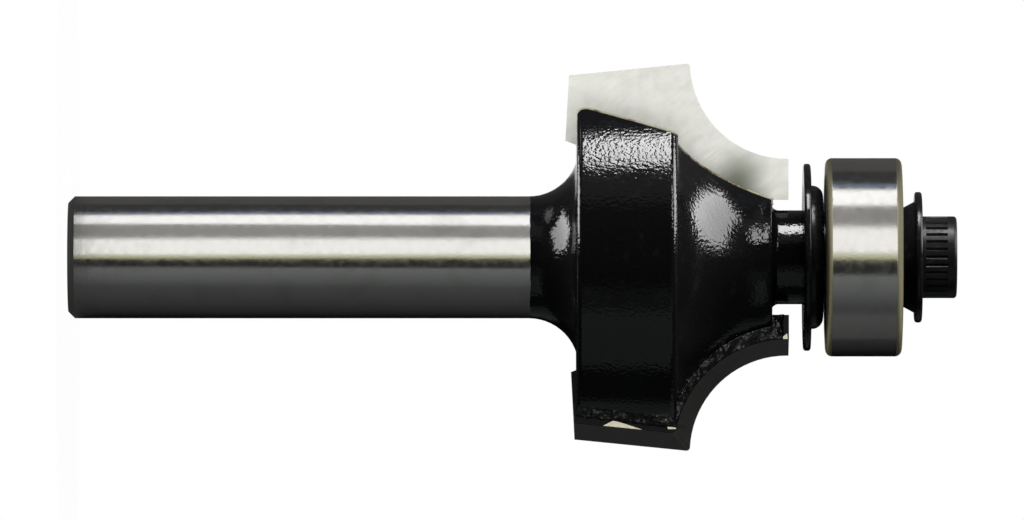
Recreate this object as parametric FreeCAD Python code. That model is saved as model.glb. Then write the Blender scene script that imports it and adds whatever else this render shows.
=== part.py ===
import FreeCAD, Part
import math
import os

# Rounding-over router bit: turned steel body, two brazed carbide tips, bearing pilot.
# Millimetres. The axis is Z, the shank's end face is at Z = 0 and the pilot points to +Z.
# Wing 1 lies on the -X side with its rake face towards -Y. Wing 2 is wing 1 turned half round.

# Shank and neck
SHANK_RADIUS = 4.0
SHANK_LENGTH = 30.15
SHANK_END_CHAMFER = 0.43
NECK_FILLET_RADIUS = 3.27
NECK_LENGTH = 3.12

# Cutting edge, seen along the wing's rake face
WING_COUNT = 2
PROFILE_RADIUS = 6.35
PILOT_OVERLAP = 0.05
OUTER_EDGE_LAND = 0.1
REAR_EDGE_TAPER = 0.79

# Head
HEAD_LENGTH = 12.78
HEAD_REAR_EDGE_RADIUS = 0.4
HEAD_FRONT_EDGE_RADIUS = 0.5
HEAD_FACE_EDGE_RADIUS = 0.14
CHIP_LIMIT = 1.1
COVE_WALL = 1.5
RIM_FACE_WIDTH = 1.81
PROFILE_CENTRE_AHEAD = 1.0

# Stem, spigot and threaded hole
STEM_RADIUS = 3.08
STEM_LENGTH = 2.06
STEM_ROOT_RADIUS = 0.45
SPIGOT_SHORTFALL = 0.25
SPIGOT_CHAMFER = 0.2
THREAD_HOLE_SPARE = 0.6
DRILL_POINT_ANGLE = 118.0

# Carbide tips
TIP_THICKNESS = 1.8
TIP_RELIEF = 1.1
TIP_CORNER_RADIUS = 0.25
TIP_FRONT_LAND = 0.11
TIP_STEM_CLEARANCE = 0.69
TIP_REAR_HEIGHT = 4.25
TIP_REAR_OVERHANG = (0.72, 0.36)
TIP_REAR_SLANT = 0.23

# Gullet: its floor rises away from the rake face and falls towards the pilot
GULLET_FALL = 0.3986
GULLET_SIDE_SLOPE = 0.351
GULLET_SHOULDER = 0.35
GULLET_REAR_RADIUS = 0.58
GULLET_STEM_CLEARANCE = 0.34

# Flat behind each tip
BACK_FLAT_DEPTH = 1.97
BACK_FLAT_RISE = 0.133

# Braze
BRAZE_THICKNESS = 0.08
BRAZE_BEAD_WIDTH = 0.8
BRAZE_BEAD_HEIGHT = 0.36

# Deep-groove ball bearing
BEARING_BORE_RADIUS = 2.0
BEARING_OUTER_RADIUS = 6.5
BEARING_WIDTH = 5.0
BEARING_EDGE_RADIUS = 0.45
BEARING_BORE_CHAMFER = 0.25
BALL_COUNT = 7
BALL_RADIUS = 1.19
BALL_CLEARANCE = 0.025
RACE_CONFORMITY = 1.04
INNER_RING_SHARE = 0.3333
OUTER_RING_SHARE = 0.3289
SEAL_SEAT_WALL = 1.15
SEAL_SEAT_DEPTH = 0.42
SEAL_THICKNESS = 0.45
SEAL_LIP_CLEARANCE = 0.06
CAGE_CLEARANCE = 0.25
CAGE_POCKET_CLEARANCE = 0.05
CAGE_BACK = 1.55
CAGE_PRONG = 0.55

# Washers
SPIGOT_FIT = 0.02
REAR_FLANGE_RADIUS = 6.13
REAR_FLANGE_THICKNESS = 0.49
REAR_BOSS_RADIUS = 4.7
REAR_BOSS_HEIGHT = 0.82
REAR_BOSS_EDGE_RADIUS = 0.72
REAR_PAD_RADIUS = 3.0
REAR_PAD_HEIGHT = 0.14
FRONT_FLANGE_RADIUS = 4.28
FRONT_FLANGE_THICKNESS = 0.49
FRONT_BOSS_RADIUS = 3.2
FRONT_BOSS_ROOT_RADIUS = 3.65
FRONT_BOSS_HEIGHT = 0.83
WASHER_EDGE_RADIUS = 0.18
SCREW_CLEARANCE = 0.1

# Cap screw
THREAD_RADIUS = 1.5
THREAD_GAP = 0.02
THREAD_LENGTH = 10.0
THREAD_END_CHAMFER = 0.35
SCREW_HEAD_RADIUS = 2.68
SCREW_HEAD_HEIGHT = 2.28
SCREW_HEAD_EDGE_RADIUS = 0.22
KNURL_COUNT = 32
KNURL_DEPTH = 0.12
KNURL_START = 0.24
KNURL_LENGTH = 1.42
SOCKET_ACROSS_FLATS = 2.5
SOCKET_DEPTH = 1.3

# Heights along the axis that follow from the sizes above
HEAD_REAR_Z = SHANK_LENGTH + NECK_LENGTH
BODY_FACE_Z = HEAD_REAR_Z + HEAD_LENGTH
PROFILE_CENTRE_Z = BODY_FACE_Z + PROFILE_CENTRE_AHEAD
STEM_END_Z = BODY_FACE_Z + STEM_LENGTH
REAR_WASHER_HEIGHT = REAR_FLANGE_THICKNESS + REAR_BOSS_HEIGHT + REAR_PAD_HEIGHT
BEARING_REAR_Z = STEM_END_Z + REAR_WASHER_HEIGHT
BEARING_FRONT_Z = BEARING_REAR_Z + BEARING_WIDTH
BEARING_MIDDLE_Z = BEARING_REAR_Z + BEARING_WIDTH / 2
SCREW_SEAT_Z = BEARING_FRONT_Z + FRONT_BOSS_HEIGHT + FRONT_FLANGE_THICKNESS

# Radii that follow from the sizes above
PROFILE_CENTRE_RADIUS = BEARING_OUTER_RADIUS - PILOT_OVERLAP + PROFILE_RADIUS
CUTTING_RADIUS = PROFILE_CENTRE_RADIUS - OUTER_EDGE_LAND
REAR_CUTTING_RADIUS = CUTTING_RADIUS - REAR_EDGE_TAPER
HEAD_RADIUS = CUTTING_RADIUS - CHIP_LIMIT
COVE_RADIUS = PROFILE_RADIUS + COVE_WALL
RIM_TO_CENTRE = OUTER_EDGE_LAND + CHIP_LIMIT + RIM_FACE_WIDTH
HEAD_RIM_Z = PROFILE_CENTRE_Z - math.sqrt(COVE_RADIUS ** 2 - RIM_TO_CENTRE ** 2)
TIP_INNER_RADIUS = STEM_RADIUS + TIP_STEM_CLEARANCE
TIP_REAR_INNER_RADIUS = REAR_CUTTING_RADIUS - TIP_REAR_HEIGHT
BACK_FLAT_RADIUS = HEAD_RADIUS - BACK_FLAT_DEPTH
BALL_PITCH_RADIUS = (BEARING_BORE_RADIUS + BEARING_OUTER_RADIUS) / 2
BEARING_SECTION = BEARING_OUTER_RADIUS - BEARING_BORE_RADIUS
INNER_SHOULDER_RADIUS = BEARING_BORE_RADIUS + INNER_RING_SHARE * BEARING_SECTION
OUTER_SHOULDER_RADIUS = BEARING_OUTER_RADIUS - OUTER_RING_SHARE * BEARING_SECTION
SEAL_SEAT_RADIUS = BEARING_OUTER_RADIUS - SEAL_SEAT_WALL

AXIS_ORIGIN = FreeCAD.Vector(0, 0, 0)
AXIS = FreeCAD.Vector(0, 0, 1)
BEYOND = 3.0 * CUTTING_RADIUS


def point(radius, z):
    """A point of a turned profile, in the X-Z half plane."""
    return FreeCAD.Vector(radius, 0, z)


def line(start, end):
    return Part.makeLine(start, end)


def arc(start, middle, end):
    return Part.Arc(start, middle, end).toShape()


def on_circle(centre, radius, degrees):
    """A point on a circle of the profile plane, the angle taken from +X towards +Z."""
    turn = math.radians(degrees)
    return centre + FreeCAD.Vector(radius * math.cos(turn), 0, radius * math.sin(turn))


def turned(edges):
    """The solid that a closed profile makes when it turns about the axis."""
    profile = Part.Face(Part.Wire(edges))
    return profile.revolve(AXIS_ORIGIN, AXIS, 360)


def turned_outline(points):
    """The turned solid of a profile of straight lines."""
    closed = points + [points[0]]
    return turned([line(closed[i], closed[i + 1]) for i in range(len(points))])


def rounded(start, corner, end, radius):
    """The tangent arc that rounds a profile corner, with its two end points."""
    back = (start - corner).normalize()
    ahead = (end - corner).normalize()
    half = back.getAngle(ahead) / 2
    reach = radius / math.tan(half)
    first = corner + back * reach
    last = corner + ahead * reach
    centre = corner + (back + ahead).normalize() * (radius / math.sin(half))
    middle = centre + (corner - centre).normalize() * radius
    return first, arc(first, middle, last), last


def turned_with_rounds(points, radii):
    """A turned solid of a profile whose corner i is rounded by radii[i]."""
    edges = []
    ends = []
    count = len(points)
    for i in range(count):
        if radii.get(i):
            first, curve, last = rounded(points[i - 1], points[i], points[(i + 1) % count], radii[i])
            ends.append((first, curve, last))
        else:
            ends.append((points[i], None, points[i]))
    for i in range(count):
        if ends[i][1]:
            edges.append(ends[i][1])
        edges.append(line(ends[i][2], ends[(i + 1) % count][0]))
    return turned(edges)


def wing_point(z, u, v=0.0):
    """A point of wing 1: u is outward from the axis, v is ahead of the rake face."""
    return FreeCAD.Vector(-u, -v, z)


def wing_prism(outline, v_low, v_high):
    """An upright prism on an outline of (z, u) points, from v_low to v_high."""
    corners = [wing_point(z, u, v_low) for z, u in outline]
    face = Part.Face(Part.makePolygon(corners + [corners[0]]))
    return face.extrude(wing_point(0, 0, v_high - v_low))


def on_wing(shape, wing):
    """A copy of a wing 1 shape turned to its own wing."""
    copy = shape.copy()
    copy.rotate(AXIS_ORIGIN, AXIS, 360.0 * wing / WING_COUNT)
    return copy


def cutting_slope():
    """How much the outer cutting edge grows in radius for each millimetre of height."""
    return REAR_EDGE_TAPER / (profile_start_z() - tip_rear_z(0))


def profile_start_z():
    return PROFILE_CENTRE_Z - math.sqrt(PROFILE_RADIUS ** 2 - OUTER_EDGE_LAND ** 2)


def tip_rear_z(wing):
    return HEAD_REAR_Z - TIP_REAR_OVERHANG[wing] + TIP_REAR_SLANT


def seat_floor(z):
    """The radius of the tip's inner edge at a height."""
    slanted = TIP_REAR_INNER_RADIUS - GULLET_FALL * (z - HEAD_REAR_Z + TIP_REAR_OVERHANG[0])
    return max(slanted, TIP_INNER_RADIUS)


def seat_bend_z():
    """The height where the tip's slanted inner edge meets the straight one."""
    drop = TIP_REAR_INNER_RADIUS - TIP_INNER_RADIUS
    return HEAD_REAR_Z - TIP_REAR_OVERHANG[0] + drop / GULLET_FALL


def tip_outline(wing, relief, v):
    """The closed wire of a tip in the plane v, with its cutting edge drawn in by the relief."""
    rear_z = tip_rear_z(wing)
    slope = cutting_slope()
    drawn_in = relief * math.sqrt(1 + slope ** 2)
    arc_radius = PROFILE_RADIUS + relief
    rear_outer = (rear_z, REAR_CUTTING_RADIUS + slope * (rear_z - tip_rear_z(0)) - drawn_in)
    # the outer edge and the arc meet where the line crosses the circle
    below = PROFILE_CENTRE_RADIUS - rear_outer[1] + slope * rear_outer[0]
    a = 1 + slope ** 2
    b = -2 * (PROFILE_CENTRE_Z + slope * below)
    c = PROFILE_CENTRE_Z ** 2 + below ** 2 - arc_radius ** 2
    corner_z = (-b - math.sqrt(b ** 2 - 4 * a * c)) / (2 * a)
    corner = (corner_z, rear_outer[1] + slope * (corner_z - rear_outer[0]))
    # a small round takes the point off the outer corner, which is nearly square
    round_start = (corner_z - TIP_CORNER_RADIUS, corner[1] - slope * TIP_CORNER_RADIUS)
    turn = math.atan2(PROFILE_CENTRE_RADIUS - corner[1], PROFILE_CENTRE_Z - corner_z)
    turn += TIP_CORNER_RADIUS / arc_radius
    round_end = (
        PROFILE_CENTRE_Z - arc_radius * math.cos(turn),
        PROFILE_CENTRE_RADIUS - arc_radius * math.sin(turn),
    )
    inward = (2 - math.sqrt(2)) / 2
    round_middle = tuple(
        corner[i] + inward * (round_start[i] + round_end[i] - 2 * corner[i]) for i in range(2)
    )
    inner_end = (PROFILE_CENTRE_Z, PROFILE_CENTRE_RADIUS - arc_radius)
    diagonal = arc_radius * math.sqrt(0.5)
    middle = (PROFILE_CENTRE_Z - diagonal, PROFILE_CENTRE_RADIUS - diagonal)
    front_z = PROFILE_CENTRE_Z + TIP_FRONT_LAND
    front_outer = (front_z, inner_end[1])
    front_inner = (front_z, TIP_INNER_RADIUS)
    bend = (seat_bend_z(), TIP_INNER_RADIUS)
    rear_inner_z = rear_z - TIP_REAR_SLANT
    rear_inner = (rear_inner_z, seat_floor(rear_inner_z))

    def at(pair):
        return wing_point(pair[0], pair[1], v)

    return Part.Wire([
        line(at(rear_outer), at(round_start)),
        arc(at(round_start), at(round_middle), at(round_end)),
        arc(at(round_end), at(middle), at(inner_end)),
        line(at(inner_end), at(front_outer)),
        line(at(front_outer), at(front_inner)),
        line(at(front_inner), at(bend)),
        line(at(bend), at(rear_inner)),
        line(at(rear_inner), at(rear_outer)),
    ])


def carbide_tip(wing):
    """A brazed plate: rake face in front, its cutting edge relieved towards the back."""
    front = tip_outline(wing, 0.0, 0.0)
    back = tip_outline(wing, TIP_RELIEF, -TIP_THICKNESS)
    return Part.makeLoft([front, back], True, True)


def body_turning():
    """The body before milling."""
    shank_end = point(SHANK_RADIUS - SHANK_END_CHAMFER, 0)
    shank_edge = point(SHANK_RADIUS, SHANK_END_CHAMFER)
    neck_start = point(SHANK_RADIUS, SHANK_LENGTH)
    neck_centre = point(SHANK_RADIUS + NECK_FILLET_RADIUS, SHANK_LENGTH)
    neck_sweep = math.degrees(math.asin((HEAD_REAR_Z - SHANK_LENGTH) / NECK_FILLET_RADIUS))
    neck_middle = on_circle(neck_centre, NECK_FILLET_RADIUS, 180 - neck_sweep / 2)
    neck_end = on_circle(neck_centre, NECK_FILLET_RADIUS, 180 - neck_sweep)

    rear_corner = point(HEAD_RADIUS, HEAD_REAR_Z)
    rim_corner = point(HEAD_RADIUS, HEAD_RIM_Z)
    rear_first, rear_round, rear_last = rounded(neck_end, rear_corner, rim_corner, HEAD_REAR_EDGE_RADIUS)

    cove_centre = point(PROFILE_CENTRE_RADIUS, PROFILE_CENTRE_Z)
    first_angle = 180 + math.degrees(math.asin((PROFILE_CENTRE_Z - HEAD_RIM_Z) / COVE_RADIUS))
    last_angle = 180 + math.degrees(math.asin((PROFILE_CENTRE_Z - BODY_FACE_Z) / COVE_RADIUS))
    cove_first = on_circle(cove_centre, COVE_RADIUS, first_angle)
    cove_last = on_circle(cove_centre, COVE_RADIUS, last_angle)
    front_first, front_round, front_last = rounded(
        rear_corner, rim_corner, cove_first, HEAD_FRONT_EDGE_RADIUS
    )

    stem_corner = point(STEM_RADIUS, BODY_FACE_Z)
    stem_end = point(STEM_RADIUS, STEM_END_Z)
    # the cove is rounded over where it meets the body's front face
    before_face = last_angle + math.degrees(HEAD_FACE_EDGE_RADIUS / COVE_RADIUS)
    face_first, face_round, face_last = rounded(
        on_circle(cove_centre, COVE_RADIUS, before_face), cove_last, stem_corner, HEAD_FACE_EDGE_RADIUS
    )
    cove_middle = on_circle(cove_centre, COVE_RADIUS, (first_angle + last_angle) / 2)
    cove = arc(cove_first, cove_middle, face_first)
    root_first, root_round, root_last = rounded(face_last, stem_corner, stem_end, STEM_ROOT_RADIUS)

    spigot_end_z = BEARING_FRONT_Z - SPIGOT_SHORTFALL
    hole_z = SCREW_SEAT_Z - THREAD_LENGTH - THREAD_HOLE_SPARE
    drill_point = THREAD_RADIUS / math.tan(math.radians(DRILL_POINT_ANGLE / 2))
    straight = [
        point(0, hole_z - drill_point),
        point(0, 0),
        shank_end,
        shank_edge,
        neck_start,
    ]
    spigot = [
        stem_end,
        point(BEARING_BORE_RADIUS - SPIGOT_FIT, STEM_END_Z),
        point(BEARING_BORE_RADIUS - SPIGOT_FIT, spigot_end_z - SPIGOT_CHAMFER),
        point(BEARING_BORE_RADIUS - SPIGOT_FIT - SPIGOT_CHAMFER, spigot_end_z),
        point(THREAD_RADIUS, spigot_end_z),
        point(THREAD_RADIUS, hole_z),
        point(0, hole_z - drill_point),
    ]
    edges = [line(straight[i], straight[i + 1]) for i in range(len(straight) - 1)]
    edges.append(arc(neck_start, neck_middle, neck_end))
    edges.append(line(neck_end, rear_first))
    edges.append(rear_round)
    edges.append(line(rear_last, front_first))
    edges.append(front_round)
    edges.append(line(front_last, cove_first))
    edges.append(cove)
    edges.append(face_round)
    edges.append(line(face_last, root_first))
    edges.append(root_round)
    edges.append(line(root_last, stem_end))
    edges.extend(line(spigot[i], spigot[i + 1]) for i in range(len(spigot) - 1))
    return turned(edges)


def gullet():
    """The chip space ahead of wing 1's rake face."""
    rear_z = HEAD_REAR_Z - BEYOND
    root = TIP_REAR_INNER_RADIUS - GULLET_FALL * TIP_REAR_OVERHANG[0] + GULLET_SHOULDER
    corner = wing_point(HEAD_REAR_Z, root)
    floor_end = wing_point(BODY_FACE_Z, root - GULLET_FALL * HEAD_LENGTH)
    rear_first, rear_round, rear_last = rounded(wing_point(HEAD_REAR_Z, 0), corner, floor_end, GULLET_REAR_RADIUS)
    open_side = [
        floor_end,
        wing_point(BODY_FACE_Z, 2 * BEYOND),
        wing_point(rear_z, 2 * BEYOND),
        wing_point(rear_z, -rear_first.x),
        rear_first,
    ]
    edges = [rear_round, line(rear_last, floor_end)]
    edges.extend(line(open_side[i], open_side[i + 1]) for i in range(len(open_side) - 1))
    face = Part.Face(Part.Wire(edges))
    slanted = face.extrude(wing_point(0, GULLET_SIDE_SLOPE * BEYOND, BEYOND))
    lowest = STEM_RADIUS + GULLET_STEM_CLEARANCE
    allowed = [(rear_z, lowest), (BODY_FACE_Z, lowest), (BODY_FACE_Z, 2 * BEYOND), (rear_z, 2 * BEYOND)]
    return slanted.common(wing_prism(allowed, 0.0, BEYOND))


def tip_seat():
    """The pocket that takes wing 1's tip and its braze."""
    rear_z = HEAD_REAR_Z - BEYOND
    outline = [
        (rear_z, seat_floor(rear_z) - BRAZE_THICKNESS),
        (seat_bend_z(), TIP_INNER_RADIUS - BRAZE_THICKNESS),
        (BODY_FACE_Z, TIP_INNER_RADIUS - BRAZE_THICKNESS),
        (BODY_FACE_Z, 2 * BEYOND),
        (rear_z, 2 * BEYOND),
    ]
    return wing_prism(outline, -TIP_THICKNESS - BRAZE_THICKNESS, 0.0)


def back_flat():
    """What the flat behind wing 1's tip takes off the rim."""
    rear_z = HEAD_REAR_Z - HEAD_LENGTH
    outline = [
        (rear_z, BACK_FLAT_RADIUS - BACK_FLAT_RISE * HEAD_LENGTH),
        (BODY_FACE_Z, BACK_FLAT_RADIUS + BACK_FLAT_RISE * HEAD_LENGTH),
        (BODY_FACE_Z, BEYOND),
        (rear_z, BEYOND),
    ]
    return wing_prism(outline, -BEYOND, -TIP_THICKNESS)


def bit_body():
    body = body_turning()
    for wing in range(WING_COUNT):
        for cutter in (gullet(), tip_seat(), back_flat()):
            body = body.cut(on_wing(cutter, wing))
    return body.removeSplitter()


def bead_wire(grow, v):
    """The edge of the steel behind a tip in the plane v, grown outward for the braze bead."""
    cove_radius = COVE_RADIUS - grow
    rim_z = HEAD_RIM_Z + grow
    face_z = BODY_FACE_Z + grow
    rim_fall = math.sqrt(cove_radius ** 2 - (PROFILE_CENTRE_Z - rim_z) ** 2)
    face_fall = math.sqrt(cove_radius ** 2 - (PROFILE_CENTRE_Z - face_z) ** 2)
    diagonal = cove_radius * math.sqrt(0.5)

    def on_turning(z, radius):
        return wing_point(z, math.sqrt(radius ** 2 - v ** 2), v)

    rear = wing_point(HEAD_REAR_Z, BACK_FLAT_RADIUS + grow, v)
    rim_rise = BACK_FLAT_RISE * (HEAD_RIM_Z - HEAD_REAR_Z)
    rim = wing_point(rim_z, BACK_FLAT_RADIUS + rim_rise + grow, v)
    cove_start = on_turning(rim_z, PROFILE_CENTRE_RADIUS - rim_fall)
    cove_middle = on_turning(PROFILE_CENTRE_Z - diagonal, PROFILE_CENTRE_RADIUS - diagonal)
    cove_end = on_turning(face_z, PROFILE_CENTRE_RADIUS - face_fall)
    # the inner side lies inside the steel, which the bead is cut back from
    front_root = wing_point(face_z, TIP_INNER_RADIUS - TIP_THICKNESS, v)
    bend = wing_point(seat_bend_z(), TIP_INNER_RADIUS - TIP_THICKNESS, v)
    rear_root = wing_point(HEAD_REAR_Z, seat_floor(HEAD_REAR_Z) - TIP_THICKNESS, v)
    return Part.Wire([
        line(rear, rim),
        line(rim, cove_start),
        arc(cove_start, cove_middle, cove_end),
        line(cove_end, front_root),
        line(front_root, bend),
        line(bend, rear_root),
        line(rear_root, rear),
    ])


def braze_joint(wing, body):
    """Braze under and behind a tip, with the bead that shows along the tip's back."""
    bend_z = seat_bend_z()
    under = [
        (HEAD_REAR_Z, seat_floor(HEAD_REAR_Z) - BRAZE_THICKNESS),
        (bend_z, TIP_INNER_RADIUS - BRAZE_THICKNESS),
        (BODY_FACE_Z, TIP_INNER_RADIUS - BRAZE_THICKNESS),
        (BODY_FACE_Z, TIP_INNER_RADIUS),
        (bend_z, TIP_INNER_RADIUS),
        (HEAD_REAR_Z, seat_floor(HEAD_REAR_Z)),
    ]
    layer = wing_prism(under, -TIP_THICKNESS - BRAZE_THICKNESS, 0.0)
    wide = bead_wire(BRAZE_BEAD_WIDTH, -TIP_THICKNESS)
    narrow = bead_wire(0.0, -TIP_THICKNESS - BRAZE_BEAD_HEIGHT)
    bead = Part.makeLoft([wide, narrow], True, True)
    tip_back = Part.Face(tip_outline(wing, TIP_RELIEF, -TIP_THICKNESS))
    behind_tip = tip_back.extrude(wing_point(0, 0, -BRAZE_BEAD_HEIGHT))
    braze = on_wing(layer.fuse(bead.common(behind_tip)), wing)
    return braze.cut([body, on_wing(carbide_tip(wing), wing)]).removeSplitter()


def rear_washer():
    """Flanged spacer: its raised pad bears on the bearing's inner ring alone."""
    z = STEM_END_Z
    flange_z = z + REAR_FLANGE_THICKNESS
    boss_z = flange_z + REAR_BOSS_HEIGHT
    bore = BEARING_BORE_RADIUS
    points = [
        point(bore, z),
        point(REAR_FLANGE_RADIUS, z),
        point(REAR_FLANGE_RADIUS, flange_z),
        point(REAR_BOSS_RADIUS, flange_z),
        point(REAR_BOSS_RADIUS, boss_z),
        point(REAR_PAD_RADIUS, boss_z),
        point(REAR_PAD_RADIUS, BEARING_REAR_Z),
        point(bore, BEARING_REAR_Z),
    ]
    rounds = {1: WASHER_EDGE_RADIUS, 2: WASHER_EDGE_RADIUS, 4: REAR_BOSS_EDGE_RADIUS}
    return turned_with_rounds(points, rounds)


def front_washer():
    z = BEARING_FRONT_Z
    flange_z = z + FRONT_BOSS_HEIGHT
    bore = THREAD_RADIUS + SCREW_CLEARANCE
    points = [
        point(bore, z),
        point(FRONT_BOSS_RADIUS, z),
        point(FRONT_BOSS_ROOT_RADIUS, flange_z),
        point(FRONT_FLANGE_RADIUS, flange_z),
        point(FRONT_FLANGE_RADIUS, SCREW_SEAT_Z),
        point(bore, SCREW_SEAT_Z),
    ]
    rounds = {1: WASHER_EDGE_RADIUS, 3: WASHER_EDGE_RADIUS, 4: WASHER_EDGE_RADIUS}
    return turned_with_rounds(points, rounds)


def raceway(side):
    """The torus of a raceway, a little fuller than the balls: side is -1 inside them and 1 outside."""
    groove_radius = BALL_RADIUS * RACE_CONFORMITY
    bottom = BALL_PITCH_RADIUS + side * (BALL_RADIUS + BALL_CLEARANCE)
    return Part.makeTorus(bottom - side * groove_radius, groove_radius,
                          FreeCAD.Vector(0, 0, BEARING_MIDDLE_Z), AXIS)


def bearing_inner_ring():
    low = BEARING_REAR_Z
    high = BEARING_FRONT_Z
    bore = BEARING_BORE_RADIUS
    chamfer = BEARING_BORE_CHAMFER
    blank = turned_outline([
        point(bore + chamfer, low),
        point(INNER_SHOULDER_RADIUS, low),
        point(INNER_SHOULDER_RADIUS, high),
        point(bore + chamfer, high),
        point(bore, high - chamfer),
        point(bore, low + chamfer),
    ])
    return blank.cut(raceway(-1))


def bearing_outer_ring():
    low = BEARING_REAR_Z
    high = BEARING_FRONT_Z
    blank = turned_with_rounds([
        point(SEAL_SEAT_RADIUS, low),
        point(BEARING_OUTER_RADIUS, low),
        point(BEARING_OUTER_RADIUS, high),
        point(SEAL_SEAT_RADIUS, high),
        point(SEAL_SEAT_RADIUS, high - SEAL_SEAT_DEPTH),
        point(OUTER_SHOULDER_RADIUS, high - SEAL_SEAT_DEPTH),
        point(OUTER_SHOULDER_RADIUS, low + SEAL_SEAT_DEPTH),
        point(SEAL_SEAT_RADIUS, low + SEAL_SEAT_DEPTH),
    ], {1: BEARING_EDGE_RADIUS, 2: BEARING_EDGE_RADIUS})
    return blank.cut(raceway(1))


def bearing_seal(front):
    """A flat rubber ring pressed into the outer ring, standing slightly proud of it."""
    inner = INNER_SHOULDER_RADIUS + SEAL_LIP_CLEARANCE
    if front:
        z = BEARING_FRONT_Z - SEAL_SEAT_DEPTH
    else:
        z = BEARING_REAR_Z + SEAL_SEAT_DEPTH - SEAL_THICKNESS
    return turned_outline([
        point(inner, z),
        point(SEAL_SEAT_RADIUS, z),
        point(SEAL_SEAT_RADIUS, z + SEAL_THICKNESS),
        point(inner, z + SEAL_THICKNESS),
    ])


def ball_place(number):
    turn = 2 * math.pi * number / BALL_COUNT
    x = BALL_PITCH_RADIUS * math.cos(turn)
    y = BALL_PITCH_RADIUS * math.sin(turn)
    return FreeCAD.Vector(x, y, BEARING_MIDDLE_Z)


def ball(number):
    return Part.makeSphere(BALL_RADIUS, ball_place(number))


def ball_cage():
    """A crown cage: a ring with round pockets that open to the front."""
    inner = INNER_SHOULDER_RADIUS + CAGE_CLEARANCE
    outer = OUTER_SHOULDER_RADIUS - CAGE_CLEARANCE
    low = BEARING_MIDDLE_Z - CAGE_BACK
    high = BEARING_MIDDLE_Z + CAGE_PRONG
    ring = turned_outline([point(inner, low), point(outer, low), point(outer, high), point(inner, high)])
    pockets = [Part.makeSphere(BALL_RADIUS + CAGE_POCKET_CLEARANCE, ball_place(n)) for n in range(BALL_COUNT)]
    return ring.cut(pockets)


def hexagon_prism(across_flats, z_low, z_high):
    corner_radius = across_flats / math.sqrt(3)
    corners = []
    for side in range(6):
        turn = math.radians(60 * side)
        corners.append(FreeCAD.Vector(corner_radius * math.cos(turn), corner_radius * math.sin(turn), z_low))
    face = Part.Face(Part.makePolygon(corners + [corners[0]]))
    return face.extrude(FreeCAD.Vector(0, 0, z_high - z_low))


def knurl_flute():
    """One V-shaped flute of the screw head's side."""
    z = SCREW_SEAT_Z + KNURL_START
    mouth_radius = SCREW_HEAD_RADIUS + KNURL_DEPTH
    mouth_half_width = 2 * KNURL_DEPTH
    root = FreeCAD.Vector(SCREW_HEAD_RADIUS - KNURL_DEPTH, 0, z)
    left = FreeCAD.Vector(mouth_radius, mouth_half_width, z)
    right = FreeCAD.Vector(mouth_radius, -mouth_half_width, z)
    face = Part.Face(Part.makePolygon([root, left, right, root]))
    return face.extrude(FreeCAD.Vector(0, 0, KNURL_LENGTH))


def cap_screw():
    seat = SCREW_SEAT_Z
    top = seat + SCREW_HEAD_HEIGHT
    thread = THREAD_RADIUS - THREAD_GAP
    end = seat - THREAD_LENGTH
    screw = turned_with_rounds([
        point(0, end),
        point(thread - THREAD_END_CHAMFER, end),
        point(thread, end + THREAD_END_CHAMFER),
        point(thread, seat),
        point(SCREW_HEAD_RADIUS, seat),
        point(SCREW_HEAD_RADIUS, top),
        point(0, top),
    ], {5: SCREW_HEAD_EDGE_RADIUS})
    flutes = []
    for number in range(KNURL_COUNT):
        flute = knurl_flute()
        flute.rotate(AXIS_ORIGIN, AXIS, 360.0 * number / KNURL_COUNT)
        flutes.append(flute)
    screw = screw.cut(flutes)
    floor = top - SOCKET_DEPTH
    socket = hexagon_prism(SOCKET_ACROSS_FLATS, floor, top + SOCKET_DEPTH)
    cone = Part.makeCone(0, SOCKET_ACROSS_FLATS / 2, SOCKET_ACROSS_FLATS / 4,
                         FreeCAD.Vector(0, 0, floor - SOCKET_ACROSS_FLATS / 4), AXIS)
    return screw.cut([socket, cone])


def pieces():
    """Every piece of the bit by its name."""
    body = bit_body()
    parts = {"bit_body": body}
    for wing in range(WING_COUNT):
        parts["carbide_tip_%d" % (wing + 1)] = on_wing(carbide_tip(wing), wing)
        parts["braze_joint_%d" % (wing + 1)] = braze_joint(wing, body)
    parts["rear_washer"] = rear_washer()
    parts["bearing_inner_ring"] = bearing_inner_ring()
    parts["bearing_outer_ring"] = bearing_outer_ring()
    parts["bearing_seal_rear"] = bearing_seal(False)
    parts["bearing_seal_front"] = bearing_seal(True)
    parts["ball_cage"] = ball_cage()
    for number in range(BALL_COUNT):
        parts["ball_%d" % (number + 1)] = ball(number)
    parts["front_washer"] = front_washer()
    parts["cap_screw"] = cap_screw()
    return parts


os.makedirs("parts", exist_ok=True)
for name, shape in pieces().items():
    shape.exportStep("parts/" + name + ".step")
    print(name, shape.isValid(), len(shape.Solids), round(shape.Volume, 3), shape.BoundBox)
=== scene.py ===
"""A two-winged rounding-over router bit with a guide bearing, dressed and lit on a pale floor.

Each sub-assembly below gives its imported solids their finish, or builds the finer piece that stands
for them.  The studio holds the floor, the light cards, the lamps and the camera.
"""
import logging
import math
from collections.abc import Callable
from dataclasses import dataclass, field
from enum import Enum, Flag, auto

import bmesh
import bpy
from mathutils import Matrix, Vector, noise
from mathutils.bvhtree import BVHTree


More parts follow.
